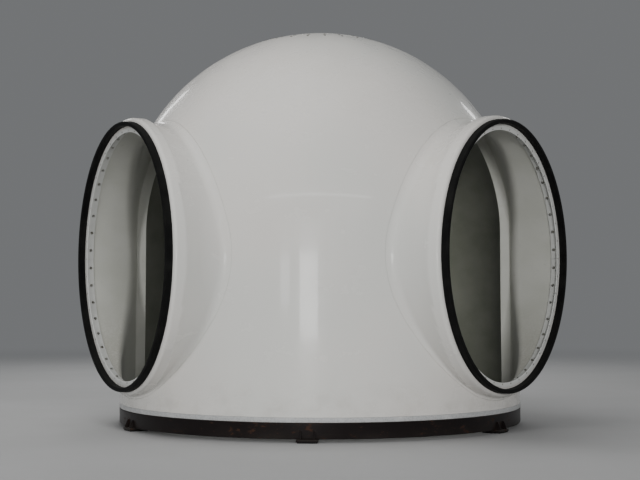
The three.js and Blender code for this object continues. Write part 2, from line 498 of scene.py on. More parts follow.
class ShaderSheet:
    """The node sheet of one material."""

    MIX_FACTOR, MIX_FIRST, MIX_SECOND, MIX_COLOUR = 0, 6, 7, 2

    def __init__(self, name: str) -> None:
        """Starts a material with one Principled shader.

        Args:
            name: the material's name.
        """
        material = bpy.data.materials.new(name)
        material.use_nodes = True
        self.tree = material.node_tree
        self.tree.nodes.clear()
        self.shader = self.node("ShaderNodeBsdfPrincipled")
        self.output = self.node("ShaderNodeOutputMaterial", {}, {0: self.shader.outputs[0]})
        self.place = self.node("ShaderNodeTexCoord").outputs["Object"]
        axes = self.node("ShaderNodeSeparateXYZ", {}, {0: self.place})
        self.across, self.rear, self.height = (Value(self, output) for output in axes.outputs)
        normal = self.node("ShaderNodeNewGeometry").outputs["Normal"]
        self.tilt = self.value("ShaderNodeSeparateXYZ", {}, {0: normal}, 2)

    def node(self, kind: str, settings: Optional[dict] = None,
             sockets: Optional[dict] = None) -> bpy.types.Node:
        """Adds a node.

        Args:
            kind: the node's type.
            settings: its settings, which are set first.
            sockets: what feeds its sockets, by name or number.

        Returns:
            The node.
        """
        made = self.tree.nodes.new(kind)
        for key, setting in (settings or {}).items():
            setattr(made, key, setting)
        for key, feed in (sockets or {}).items():
            self.feed(made.inputs[key], feed)
        return made

    def value(self, kind: str, settings: dict, sockets: dict, output: Union[int, str] = 0) -> Value:
        """Adds a node and takes one of its outputs as a value."""
        return Value(self, self.node(kind, settings, sockets).outputs[output])

    def feed(self, socket: bpy.types.NodeSocket, feed: Feed) -> None:
        """Links or sets a socket.

        Args:
            socket: the socket.
            feed: a value, an output socket, a number or a colour.
        """
        feed = feed.socket if isinstance(feed, Value) else feed
        if isinstance(feed, bpy.types.NodeSocket):
            self.tree.links.new(feed, socket)
        else:
            socket.default_value = (*feed, 1.0) if socket.type == "RGBA" else feed

    def set(self, **sockets: Feed) -> None:
        """Feeds sockets of the shader, named with underscores for spaces."""
        for name, feed in sockets.items():
            self.feed(self.shader.inputs[name.replace("_", " ")], feed)

    def noise(self, scale: float, detail: float = 4.0, rough: float = 0.55,
              stretch: tuple[float, float, float] = (1.0, 1.0, 1.0), seed: float = 0.0) -> Value:
        """Fractal noise over the object, from nought to one around a half.

        Args:
            scale: features for each metre.
            detail: number of finer layers.
            rough: strength of the finer layers.
            stretch: factors along the three axes.
            seed: fourth coordinate, which picks another pattern.

        Returns:
            The noise.
        """
        place = self.node("ShaderNodeVectorMath", {"operation": "MULTIPLY"}, {0: self.place, 1: stretch})
        sockets = {"Vector": place.outputs[0], "W": seed, "Scale": scale, "Detail": detail}
        return self.value("ShaderNodeTexNoise", {"noise_dimensions": "4D"}, {**sockets, "Roughness": rough})

    def cells(self, scale: float) -> Value:
        """A pattern of cells, so many for each metre, that rises from the middle of each."""
        return self.value("ShaderNodeTexVoronoi", {}, {"Vector": self.place, "Scale": scale}, "Distance")

    def blend(self, factor: Union[Value, float], first: Feed, second: Feed) -> bpy.types.NodeSocket:
        """Mixes two colours by the share of the second."""
        sockets = {self.MIX_FACTOR: factor, self.MIX_FIRST: first, self.MIX_SECOND: second}
        return self.node("ShaderNodeMix", {"data_type": "RGBA"}, sockets).outputs[self.MIX_COLOUR]

    def relief(self, *layers: tuple[Value, float]) -> bpy.types.NodeSocket:
        """Bumps laid over each other.

        Args:
            layers: pairs of a height from nought to one and what one stands for, in metres.

        Returns:
            The normal.
        """
        below = {}
        for height, depth in layers:
            sockets = {"Height": height, "Distance": depth, "Strength": 1.0, **below}
            below = {"Normal": self.node("ShaderNodeBump", {}, sockets).outputs[0]}
        return below["Normal"]


@dataclass(frozen=True)
class Finish:
    """What every finish has: a name and a way to be painted, once for the whole scene."""

    name: str

    def material(self) -> bpy.types.Material:
        """The finish as a material, painted when it is first asked for.

        Returns:
            The material.
        """
        if self.name not in bpy.data.materials:
            self.paint(ShaderSheet(self.name))
        return bpy.data.materials[self.name]

    def paint(self, sheet: ShaderSheet) -> None:
        """Fills in the sheet of the material."""
        raise NotImplementedError


@dataclass(frozen=True)
class Gelcoat(Finish):
    """Glossy off-white gelcoat with dust on top, handling marks and grime towards the skirt."""

    name: str = "gelcoat_gloss"
    pale: tuple = (0.640, 0.618, 0.585)
    cool: tuple = (0.598, 0.596, 0.566)
    dust: tuple = (0.520, 0.500, 0.450)
    grime: tuple = (0.330, 0.310, 0.270)
    skirt_foot: float = 0.25
    grime_top: float = 0.75

    def paint(self, sheet: ShaderSheet) -> None:
        """Fills in the sheet of the material.

        Args:
            sheet: the sheet.
        """
        broad = sheet.noise(0.45, 2.0)
        mottle = sheet.noise(5.0, 5.0)
        colour = sheet.blend(broad.rising(0.35, 0.65), self.pale, self.cool)
        dusty = sheet.tilt.rising(0.25, 0.95) * (0.25 + 0.75 * mottle.rising(0.35, 0.7)) * 0.35
        colour = sheet.blend(dusty, colour, self.dust)
        runs = sheet.noise(9.0, 4.0, 0.6, (1.0, 1.0, 0.06), 3.0).rising(0.56, 0.78)
        low = 1.0 - sheet.height.rising(self.skirt_foot, self.grime_top)
        dirty = low * (0.12 + 0.55 * mottle.rising(0.45, 0.75)) + runs * 0.10
        colour = sheet.blend(dirty * 0.55, colour, self.grime)
        spots = 1.0 - sheet.cells(7.0).rising(0.0, 0.035)
        specks = spots * sheet.noise(38.0, 6.0, 0.7).rising(0.5, 0.62) * 0.5
        wiped = sheet.noise(2.2, 3.0, 0.5, (1.0, 1.0, 2.4), 7.0).rising(0.45, 0.62)
        rough = 0.15 + 0.10 * mottle + 0.07 * wiped + 0.55 * dusty + 0.30 * dirty
        sheet.set(Base_Color=sheet.blend(specks, colour, self.grime), Roughness=rough, IOR=1.5)
        sheet.set(Coat_Weight=0.55 - 0.4 * dusty - 0.4 * dirty, Coat_Roughness=0.05)
        waves = sheet.noise(1.7, 1.0, 0.4, seed=1.0)
        peel = sheet.noise(160.0, 2.0)
        sheet.set(Normal=sheet.relief((waves, 0.0045), (mottle, 0.0002), (peel, 0.00006)))


@dataclass(frozen=True)
class Flowcoat(Finish):
    """Matt, rolled-on flowcoat over chopped strand mat, on the inside of the mouldings."""

    name: str = "flowcoat_pale"
    pale: tuple = (0.520, 0.520, 0.480)
    thin: tuple = (0.450, 0.455, 0.405)
    dust: tuple = (0.330, 0.315, 0.270)

    def paint(self, sheet: ShaderSheet) -> None:
        """Fills in the sheet of the material.

        Args:
            sheet: the sheet.
        """
        rolled = sheet.noise(2.2, 3.0, 0.5, (1.0, 1.0, 1.6), 2.0)
        strands = sheet.noise(48.0, 5.0, 0.75, seed=5.0)
        patchy = sheet.noise(9.0, 4.0, 0.6, seed=4.0)
        colour = self.coat(sheet, rolled.rising(0.30, 0.75) * 0.7 + strands * 0.3)
        dusty = sheet.tilt.rising(0.2, 0.9) * strands.rising(0.3, 0.6) * 0.6
        dusty = dusty + patchy.rising(0.62, 0.75) * 0.25
        sheet.set(Base_Color=sheet.blend(dusty, colour, self.dust), Roughness=0.50 + 0.20 * patchy)
        sheet.set(Normal=sheet.relief((rolled, 0.0015), (strands, 0.0012)))

    def coat(self, sheet: ShaderSheet, share: Value) -> bpy.types.NodeSocket:
        """The coat's own colour, from where it is thick to where it is thin."""
        return sheet.blend(share, self.pale, self.thin)


@dataclass(frozen=True)
class BareLaminate(Flowcoat):
    """The inside of the panels: greenish bare glass between the ribs, and a thin coat by the openings."""

    name: str = "laminate_thin_flowcoat"
    pale: tuple = (0.215, 0.220, 0.185)
    thin: tuple = (0.140, 0.150, 0.115)
    dust: tuple = (0.160, 0.150, 0.120)
    coated: tuple = (0.480, 0.485, 0.440)
    rib_turn: float = 41.0  # degrees from the middle of an opening

    def coat(self, sheet: ShaderSheet, share: Value) -> bpy.types.NodeSocket:
        """The laminate's colour, with the coat that runs from each opening to the ribs beside it.

        Args:
            sheet: the material's sheet.
            share: how thin the bare laminate's resin is.

        Returns:
            The colour.
        """
        rear = sheet.rear / (sheet.across * sheet.across + sheet.rear * sheet.rear).root()
        threefold = 4.0 * rear * rear * rear - 3.0 * rear
        edge = math.cos(math.radians(3 * self.rib_turn))
        beside = threefold.rising(edge - 0.01, edge + 0.01)
        return sheet.blend(beside, super().coat(sheet, share), self.coated)


@dataclass(frozen=True)
class Rubber(Finish):
    """Black sponge rubber with a grey bloom and a little dust."""

    name: str = "seal_black_rubber"
    black: tuple = (0.004, 0.004, 0.004)
    bloom: tuple = (0.013, 0.013, 0.012)

    def paint(self, sheet: ShaderSheet) -> None:
        """Fills in the sheet of the material.

        Args:
            sheet: the sheet.
        """
        grain = sheet.noise(220.0, 3.0)
        bloom = sheet.noise(6.0, 5.0, 0.6)
        veil = bloom.rising(0.42, 0.7) * 0.5 + sheet.tilt.rising(0.1, 0.9) * 0.35
        sheet.set(Base_Color=sheet.blend(veil, self.black, self.bloom), Roughness=0.48 + 0.3 * bloom)
        sheet.set(Normal=sheet.relief((grain, 0.0003)), Specular_IOR_Level=0.14)


@dataclass(frozen=True)
class SatinPaint(Finish):
    """Satin paint on steel, chipped to primer in a few places."""

    name: str = "clamp_satin_white"
    white: tuple = (0.600, 0.605, 0.580)
    primer: tuple = (0.230, 0.225, 0.210)

    def paint(self, sheet: ShaderSheet) -> None:
        """Fills in the sheet of the material.

        Args:
            sheet: the sheet.
        """
        broad = sheet.noise(2.5, 3.0)
        chipped = sheet.noise(26.0, 6.0, 0.7).rising(0.70, 0.73)
        colour = sheet.blend(broad.rising(0.4, 0.7) * 0.18, self.white, self.primer)
        colour = sheet.blend(chipped, colour, self.primer)
        sheet.set(Base_Color=colour, Roughness=0.34 + 0.15 * broad + 0.25 * chipped)
        sheet.set(Normal=sheet.relief((1.0 - chipped, 0.0003), (sheet.noise(130.0, 2.0), 0.0001)))


@dataclass(frozen=True)
class Galvanised(Finish):
    """Hot-dip zinc, dulled, with its spangle and white bloom; its colours are lighter than dull zinc, partly
    the zinc's own colour and partly a painted highlight of the ring's rounded edge.
    """

    name: str = "base_zinc_and_painted_highlight"
    # partly painted highlight: these colours are lighter than dull zinc, so that the ring shows as a bright
    # band along the skirt's foot
    dark: tuple = (0.470, 0.480, 0.480)
    light: tuple = (0.640, 0.645, 0.640)
    bloom: tuple = (0.720, 0.715, 0.695)

    def paint(self, sheet: ShaderSheet) -> None:
        """Fills in the sheet of the material.

        Args:
            sheet: the sheet.
        """
        spangle = sheet.cells(45.0).rising(0.1, 0.7)
        cloud = sheet.noise(4.0, 5.0, 0.6)
        dull = cloud.rising(0.52, 0.72)
        colour = sheet.blend(spangle * 0.7 + cloud * 0.3, self.dark, self.light)
        sheet.set(Base_Color=sheet.blend(dull * 0.6, colour, self.bloom), Metallic=0.45 - 0.3 * dull)
        sheet.set(Roughness=0.38 + 0.2 * spangle + 0.2 * cloud)
        sheet.set(Normal=sheet.relief((spangle, 0.00015), (cloud, 0.0006)))


@dataclass(frozen=True)
class BlackPaint(Finish):
    """Black workshop paint, scuffed, dusty on top and rubbed to rust in places, with painted shade: its black
    and its dust are darker than they are in light, for the shade under the shell.
    """

    name: str = "stand_worn_black_painted_shade"
    # painted shade: the black and the dust are darker than the paint and dust are in light, standing in for
    # the shade under the shell
    black: tuple = (0.007, 0.005, 0.005)
    dust: tuple = (0.065, 0.057, 0.049)
    rust: tuple = (0.040, 0.021, 0.014)
    splash_top: float = 0.16

    def paint(self, sheet: ShaderSheet) -> None:
        """Fills in the sheet of the material.

        Args:
            sheet: the sheet.
        """
        broad = sheet.noise(1.8, 4.0)
        scuffed = (sheet.noise(15.0, 7.0, 0.72, (1.0, 1.0, 1.6)) + 0.25 * broad).rising(0.70, 0.76)
        splash = (1.0 - sheet.height.rising(0.0, self.splash_top)) * broad.rising(0.3, 0.7)
        veil = sheet.tilt.rising(0.3, 0.9) * 0.55 + splash * 0.20 + broad.rising(0.5, 0.75) * 0.05
        colour = sheet.blend(scuffed, sheet.blend(veil, self.black, self.dust), self.rust)
        sheet.set(Base_Color=colour, Roughness=0.36 + 0.35 * veil + 0.3 * scuffed, Specular_IOR_Level=0.22)
        sheet.set(Normal=sheet.relief((1.0 - scuffed, 0.0004), (sheet.noise(90.0, 3.0), 0.00025)))


@dataclass(frozen=True)
class Zinc(Finish):
    """Bright zinc plating on fasteners."""

    name: str = "fastener_zinc"
    bright: tuple = (0.520, 0.520, 0.500)
    tarnish: tuple = (0.300, 0.270, 0.200)

    def paint(self, sheet: ShaderSheet) -> None:
        """Fills in the sheet of the material.

        Args:
            sheet: the sheet.
        """
        tarnish = sheet.noise(30.0, 4.0, 0.6)
        sheet.set(Base_Color=sheet.blend(tarnish.rising(0.4, 0.7), self.bright, self.tarnish))
        sheet.set(Metallic=0.9, Roughness=0.3 + 0.25 * tarnish, Normal=sheet.relief((tarnish, 0.0002)))


@dataclass(frozen=True)
class StudioFloor(Finish):
    """A pale, even studio floor that fades into the air far from the part."""

    name: str = "studio_floor"
    pale: tuple = (0.420, 0.420, 0.420)
    worn: tuple = (0.385, 0.385, 0.380)
    fade_start: float = 5.0
    fade_end: float = 24.0

    def paint(self, sheet: ShaderSheet) -> None:
        """Fills in the sheet of the material.

        Args:
            sheet: the sheet.
        """
        broad = sheet.noise(0.35, 5.0, 0.6)
        fine = sheet.noise(14.0, 4.0)
        colour = sheet.blend(broad.rising(0.3, 0.7) * 0.7 + fine * 0.2, self.pale, self.worn)
        sheet.set(Base_Color=colour, Roughness=0.65 + 0.2 * broad, Specular_IOR_Level=0.25)
        sheet.set(Normal=sheet.relief((fine, 0.0006)))
        away = sheet.value("ShaderNodeVectorMath", {"operation": "LENGTH"}, {0: sheet.place}, 1)
        glow = sheet.node("ShaderNodeEmission", {}, {"Color": AIR, "Strength": 1.0}).outputs[0]
        fade = away.rising(self.fade_start, self.fade_end)
        mixed = sheet.node("ShaderNodeMixShader", {}, {0: fade, 1: sheet.shader.outputs[0], 2: glow})
        sheet.feed(sheet.output.inputs[0], mixed.outputs[0])


GELCOAT, FLOWCOAT, LAMINATE, RUBBER = Gelcoat(), Flowcoat(), BareLaminate(), Rubber()
SATIN, GALVANISED, BLACK, ZINC = SatinPaint(), Galvanised(), BlackPaint(), Zinc()


# Fasteners


SUNK = 0.001  # how far a head or washer reaches into what it stands on


@dataclass(frozen=True)
class Bolt:
    """A hexagon bolt head on its washer."""

    across: float = 0.030  # over the corners of the head
    head: float = 0.011
    washer: float = 0.040
    washer_wall: float = 0.003
    bevel: float = 0.0025

    def patch(self) -> Patch:
        """The head and washer, standing on nought with out as the bolt's axis.

        Returns:
            The bolt.
        """
        seat, top = self.washer_wall, self.washer_wall + self.head
        washer = stacked(circle(self.washer / 2, 20), [(0, -SUNK), (0, seat - 0.0006), (0.0006, seat)])
        levels = [(0, seat - SUNK), (0, top - self.bevel), (self.bevel, top)]
        return joined([washer, stacked(circle(self.across / 2, 6), levels)])


@dataclass(frozen=True)
class ButtonScrew:
    """A low round-headed screw with a sunk socket."""

    width: float = 0.026
    rise: float = 0.006

    def patch(self) -> Patch:
        """The head, standing on nought.

        Returns:
            The screw.
        """
        half = self.width / 2
        profile = [(0, 0.25), (0.12, 0.7), (0.35, 0.95), (0.55, 1.0), (0.60, 0.4)]
        levels = [(half * inset, self.rise * up) for inset, up in profile]
        return stacked(circle(half, 18), [(0, -SUNK), *levels])


# The shell's parts by their direction


class Direction(Enum):
    """A direction around the axis of the shell, in degrees from +X."""

    @property
    def label(self) -> str:
        """The name as the nodes have it."""
        return self.name.lower()


class Opening(Direction):
    """The three blade openings."""

    LEFT = -150.0
    RIGHT = -30.0
    REAR = 90.0

    def axes(self, height: float) -> Axes:
        """Axes that look out through the opening, from the axis of the shell at a height."""
        return Axes.level(height * UP, math.radians(self.value))


class Panel(Direction):
    """The three panels between the openings, by their middle."""

    FRONT = -90.0
    RIGHT = 30.0
    LEFT = 150.0

    def arc(self, section: Array, reach: float) -> Patch:
        """A section turned through the panel's third, less half a joint at either end."""
        gap = math.degrees(HALF_JOINT / reach)
        return turned(section, UPRIGHT, self.value - 60.0 + gap, self.value + 60.0 - gap, 64)

    def halves(self, patches: Sequence[Patch], height: float) -> list[Patch]:
        """Both halves of something in the panel.

        Args:
            patches: one half, in the axes of the opening beside it.
            height: height of the openings' centres.

        Returns:
            The half placed beside each of the two openings, mirrored at one of them.
        """
        made = []
        for opening in Opening:
            turn = (self.value - opening.value + 180.0) % 360.0 - 180.0
            if abs(turn) < 90.0:
                made.extend(patch.placed(opening.axes(height), turn < 0) for patch in patches)
        return made


# The form of the shell


@dataclass(frozen=True)
class Bell:
    """Outline of the bell: an upright skirt that widens a little towards its foot, under a round dome."""

    base_radius: float
    foot: float
    dome_radius: float
    dome_height: float  # where the skirt ends and the dome starts

    def radius(self, height: Array) -> Array:
        """Outer radius at any height.

        Args:
            height: heights above the floor.

        Returns:
            The radii.
        """
        down = np.clip((self.dome_height - height) / (self.dome_height - self.foot), 0, 1.1)
        skirt = self.dome_radius + (self.base_radius - self.dome_radius) * down**2
        up = np.clip((height - self.dome_height) / self.dome_radius, 0, 1)
        return np.where(height < self.dome_height, skirt, self.dome_radius * np.sqrt(1 - up * up))

    def dome(self, reach: Array, depth: float = 0.0) -> tuple[Array, Array]:
        """Reach and height of points under the dome's skin, from their reach on it, and its normals."""
        normals = np.column_stack([reach, np.sqrt(self.dome_radius**2 - reach**2)]) / self.dome_radius
        return normals * (self.dome_radius - depth) + (0.0, self.dome_height), normals

    def distance(self, reach: Array, height: Array) -> Array:
        """Distance from the bell, positive outside, at a distance from the axis and a height."""
        over = height - self.dome_height
        return np.where(over > 0, np.hypot(reach, over) - self.dome_radius, reach - self.radius(height))


@dataclass(frozen=True)
class SpinnerForm:
    """The outer form: the bell with a round collar running out of it at each opening.

    Local points are given as side, up and out of one opening, from its centre on the axis of the shell.
    """

    COLLAR_START = 0.6  # the collar is only looked at further out than this
    NEAREST, FARTHEST = 0.5, 3.2  # all of the skin is between these, seen from the opening's centre
    HALVINGS = 36

    bell: Bell
    height: float  # of the openings' centres
    plane: float  # axis of the shell to the face of a collar
    collar_radius: float = 1.405
    rim_radius: float = 1.500
    rim_width: float = 0.120
    swell_length: float = 0.375
    side_blend: float = 0.060
    top_blend: float = 0.090
    foot_blend: float = 0.035

    @property
    def plain(self) -> "SpinnerForm":
        """The form that the linings follow, without the swelling of the rims."""
        return replace(self, rim_radius=self.collar_radius)

    def collar_reach(self, out: Array) -> Array:
        """Radius of a collar, which swells towards its rim, at distances from the axis of the shell."""
        share = np.clip(1 - (self.plane - self.rim_width - out) / self.swell_length, 0, 1)
        return self.collar_radius + (self.rim_radius - self.collar_radius) * share * share

    def blend(self, steepness: Array) -> Array:
        """Width of the fillet at the root of a collar, from the sine of the angle around the opening."""
        end = np.where(steepness > 0, self.top_blend, self.foot_blend)
        return end + (self.side_blend - end) * (1 - steepness * steepness)

    def distance(self, points: Array) -> Array:
        """Roughly the distance of local points from the form, positive outside.

        Args:
            points: the points.

        Returns:
            The distances.
        """
        side, up, out = points[..., 0], points[..., 1], points[..., 2]
        bell = self.bell.distance(np.hypot(side, out), up + self.height)
        reach = np.maximum(np.hypot(side, up), 1e-6)
        collar = np.where(out > self.COLLAR_START, reach - self.collar_reach(out), np.inf)
        blend = self.blend(up / reach)
        near = np.maximum(blend - np.abs(bell - collar), 0) / blend
        return np.minimum(bell, collar) - near * near * blend / 4

    def surface(self, spread: Array, turn: Array) -> Array:
        """Points of the form in given directions from the opening's centre on the axis.

        Args:
            spread: angle away from the opening's axis, in radians.
            turn: angle around that axis, from side towards up, in radians.

        Returns:
            Local points.
        """
        rays = np.stack([np.sin(spread) * np.cos(turn), np.sin(spread) * np.sin(turn), np.cos(spread)], -1)
        near, far = np.full(spread.shape, self.NEAREST), np.full(spread.shape, self.FARTHEST)
        for _ in range(self.HALVINGS):
            middle = (near + far) / 2
            inside = self.distance(rays * middle[..., None]) < 0
            near, far = np.where(inside, middle, near), np.where(inside, far, middle)
        return rays * ((near + far) / 2)[..., None]

    def normal(self, points: Array) -> Array:
        """Outward normals at local points on the form."""
        rises = [self.distance(points + step) - self.distance(points - step) for step in 1e-5 * np.eye(3)]
        return unit(np.stack(rises, -1))

    def sheet(self, spread: Array, turn: Array) -> tuple[Array, Array]:
        """Points and normals of the form in given directions."""
        points = self.surface(spread, turn)
        return points, self.normal(points)

    def root_spread(self, turn: Array, gap: float = 0.0) -> Array:
        """Spread at which the joint between a collar and the panels runs, where the fillet starts.

        Args:
            turn: angles around the opening.
            gap: distance away from the middle of the joint.

        Returns:
            The spread at each angle.
        """
        out = np.full(turn.shape, self.plane)
        for _ in range(4):
            reach = self.collar_reach(out) + self.blend(np.sin(turn))
            around = self.bell.radius(self.height + reach * np.sin(turn))
            out = np.sqrt(around**2 - (reach * np.cos(turn)) ** 2)
        return np.arctan2(reach, out) + gap / self.bell.dome_radius

    def fan(self, turn: Array, root: Array, limit: Union[Array, float], columns: int) -> tuple[Array, Array]:
        """Directions from one spread to another, evenly but for a narrow band along either.

        Args:
            turn: angles around the opening.
            root: spread at which the columns start at each angle.
            limit: spread at which they end.
            columns: number of even steps between the bands.

        Returns:
            Spread and turn of each direction.
        """
        lead = (EDGE_BAND / (self.bell.dome_radius * np.abs(limit - root)))[:, None]
        even = lead + (1 - 2 * lead) * np.linspace(0, 1, columns + 1)[1:-1]
        share = np.hstack([0 * lead, lead, even, 1 - lead, 1 + 0 * lead])
        spread = root[:, None] + (limit - root)[:, None] * share
        return spread, np.repeat(turn[:, None], spread.shape[1], 1)


# The mouldings


def web_foot(face: float, fillet: float, root: float) -> list[tuple[float, float, float]]:
    """Depth, distance and radius of corners where a flange's or rib's face runs out into the laminate."""
    bends = [(WALL + fillet * down, face + fillet * over, 0.0) for down, over in ((1, 0), (0.3, 0.3), (0, 1))]
    return [*bends, (root, face + fillet, 0.0)]


@dataclass(frozen=True)
class ShellPanels:
    """The three panels: laminate skin between the openings, from the skirt to the nose cap."""

    form: SpinnerForm
    cap_radius: float
    rows_under: int = 26
    rows_beside: int = 84
    rows_over: int = 14
    columns: int = 34

    def build(self) -> None:
        """Makes the three panels."""
        half = self.half()
        for panel in Panel:
            piece = Piece(f"shell_panel_{panel.label}", (GELCOAT, LAMINATE))
            piece.add(*panel.halves(half, self.form.height)).make("gelcoat", piece.name)

    def grid(self) -> tuple[Array, Array, int, int]:
        """Directions over half a panel, from the seam under an opening to the seam over it.

        Returns:
            Spread and turn of each point, and the rows where the panel's middle line starts and ends.
        """
        bell, height, half = self.form.bell, self.form.height, math.radians(60)
        foot = math.atan2(bell.foot - height, bell.base_radius)
        reach, top = bell.dome(np.array([self.cap_radius + HALF_JOINT]))[0][0]
        edge = math.atan2(top - height, reach)
        low, high = (math.atan2(math.sin(rise), math.cos(rise) * math.sin(half)) for rise in (foot, edge))
        step = EDGE_BAND / self.form.collar_radius
        under = np.linspace(-math.pi / 2 + step, low, self.rows_under)
        beside = np.linspace(low, high, self.rows_beside + 1)[1:-1]
        over = np.linspace(high, math.pi / 2 - step, self.rows_over)
        turn = np.concatenate([[-math.pi / 2], under, beside, over, [math.pi / 2]])
        start, end = len(under), len(under) + len(beside) + 1
        limit = np.arctan2(math.tan(half), np.maximum(np.cos(turn), 1e-9))
        limit[:start] = np.arcsin(math.sin(foot) / np.sin(turn[:start]))
        limit[end + 1 :] = np.arcsin(math.sin(edge) / np.sin(turn[end + 1 :]))
        return *self.form.fan(turn, self.form.root_spread(turn, HALF_JOINT), limit, self.columns), start, end

    def half(self) -> list[Patch]:
        """Skins and cut edges of half a panel, in the axes of the opening beside it.

        Returns:
            The patches.
        """
        spread, turn, start, end = self.grid()
        points = self.form.surface(spread, turn)
        points[[0, -1], :, 0] = HALF_JOINT
        rows = np.arange(len(points))
        borders = [(np.s_[0, :], np.s_[1, :]), (np.s_[-1, :], np.s_[-2, :]), (np.s_[:, 0], np.s_[:, 1])]
        borders += [((kept, -1), (kept, -2)) for kept in (rows[: start + 1], rows[end:])]
        return moulding(points, self.form.normal(points), borders)

    def seams(self) -> list[tuple[Array, Array]]:
        """The seams under and over an opening, as local points of the outer form and their normals."""
        spread, turn, _, _ = self.grid()
        return [self.form.sheet(spread[row], turn[row]) for row in (0, -1)]


@dataclass(frozen=True)
class OpeningCollars:
    """The collar mouldings, from the joint with the panels to the thick rim that carries the seal."""

    form: SpinnerForm
    rounding: float = 0.040
    strap_width: float = 0.150
    strap_wall: float = 0.005
    steps: int = 288
    columns: int = 28

    def build(self) -> None:
        """Makes the three collars and the laminate straps that tie them to the panels."""
        patches, strap = self.patches(), self.strap()
        for opening in Opening:
            axes = opening.axes(self.form.height)
            piece = Piece(f"opening_collar_{opening.label}", (GELCOAT, FLOWCOAT))
            piece.add(*(patch.placed(axes) for patch in patches)).make("gelcoat", piece.name)
            Piece(f"collar_strap_{opening.label}", (FLOWCOAT,)).add(strap.placed(axes)).make("gelcoat")

    def strap(self) -> Patch:
        """The strap of laminate laid over the inside of a collar's joint, with its edges run out.

        Returns:
            The strap, in the axes of the opening.
        """
        turn = full_turn(self.steps)
        across = np.array([-0.50, -0.46, -0.2, 0.2, 0.46, 0.50])
        proud = np.array([-0.001, 0.8 * self.strap_wall, self.strap_wall])
        depth = WALL + np.concatenate([proud, proud[::-1]])
        spread = self.form.root_spread(turn)[:, None] + self.strap_width / self.form.bell.dome_radius * across
        points, normals = self.form.plain.sheet(spread, np.repeat(turn[:, None], len(across), 1))
        return skin(points - normals * depth[:, None], -normals, 0, True)

    def rim(self) -> tuple[Array, Array]:
        """Section of the rim, from the outer wall round to the bore.

        Returns:
            The points of the section and their normals, as radius and distance out.
        """
        bore, start = self.form.collar_radius - WALL, self.form.plane - self.rounding - 0.002
        section = rounded([
            (self.form.rim_radius, start, 0.0),
            (self.form.rim_radius, self.form.plane, self.rounding),
            (bore, self.form.plane, 0.003),
            (bore, start, 0.0),
        ], 8)[:-1]
        tangent = np.gradient(section, axis=0)
        normals = unit(np.column_stack([tangent[:, 1], -tangent[:, 0]]))
        normals[0], normals[-1] = (1.0, 0.0), (-1.0, 0.0)
        return section, normals

    def patches(self) -> list[Patch]:
        """Skins and cut edge of a collar, in the axes of its opening.

        Returns:
            The patches.
        """
        turn = full_turn(self.steps)
        root = self.form.root_spread(turn, -HALF_JOINT)
        section, normals = self.rim()
        outer, (points, outward) = (
            form.sheet(*form.fan(turn, root, math.atan2(form.rim_radius, section[0, 1]), self.columns))
            for form in (self.form, self.form.plain)
        )
        rim, facing = revolved(section, normals, turn)
        lining = (np.hstack([points - outward * WALL, rim[:, -1:]]), np.hstack([outward, -facing[:, -1:]]))
        return [*moulding(*outer, [(np.s_[:, 0], np.s_[:, 1])], True, lining), skin(rim, facing, 0, True)]


@dataclass(frozen=True)
class Nose:
    """The cap that closes the nose, the ring under its joint and the screws through both."""

    bell: Bell
    cap_radius: float
    ring_half_width: float = 0.090
    screws: int = 24
    screw_offset: float = 0.042
    core: float = 0.004  # small flat at the pole

    def build(self) -> None:
        """Makes the cap, the ring and the screws."""
        Piece("nose_cap", (GELCOAT, LAMINATE)).add(*self.cap()).make("gelcoat", "nose_cap")
        reach = self.cap_radius + self.ring_half_width * np.linspace(-1, 1, 13)
        upper, lower = (self.bell.dome(reach, depth)[0] for depth in (WALL + FIT, 2 * WALL))
        ring = turned(np.vstack([upper, lower[::-1]]), UPRIGHT)
        Piece("nose_ring", (GALVANISED,)).add(ring).make("base_steel", "nose_ring")
        fixing = Piece("nose_screws", (ZINC,))
        rows = self.bell.dome(self.cap_radius + self.screw_offset * np.array([-1.0, 1.0]))
        for (reach, height), normal in zip(*rows):
            places = ring_places(2 * math.pi * halfway(self.screws), reach, height, normal, (0.0, 1.0))
            fixing.add(scattered(ButtonScrew().patch(), places))
        fixing.make("base_steel")

    def cap(self) -> list[Patch]:
        """Skins and cut edge of the cap, with the small flats that close them at the pole.

        Returns:
            The patches.
        """
        rim, turn = self.cap_radius - HALF_JOINT, full_turn(144)
        radii = np.concatenate([[self.core], np.linspace(0.05, rim - EDGE_BAND, 16), [rim]])
        points, normals = revolved(*self.bell.dome(radii), turn)
        patches = moulding(points, normals, [(np.s_[:, -1], np.s_[:, -2])], True)
        order, facing = tuple(range(len(turn))), np.tile(UP, (len(turn), 1))
        patches.append(Patch(points[:, 0], [order], facing, 0))
        patches.append(Patch(points[:, 0] - normals[:, 0] * WALL, [order[::-1]], -facing, 1))
        return patches


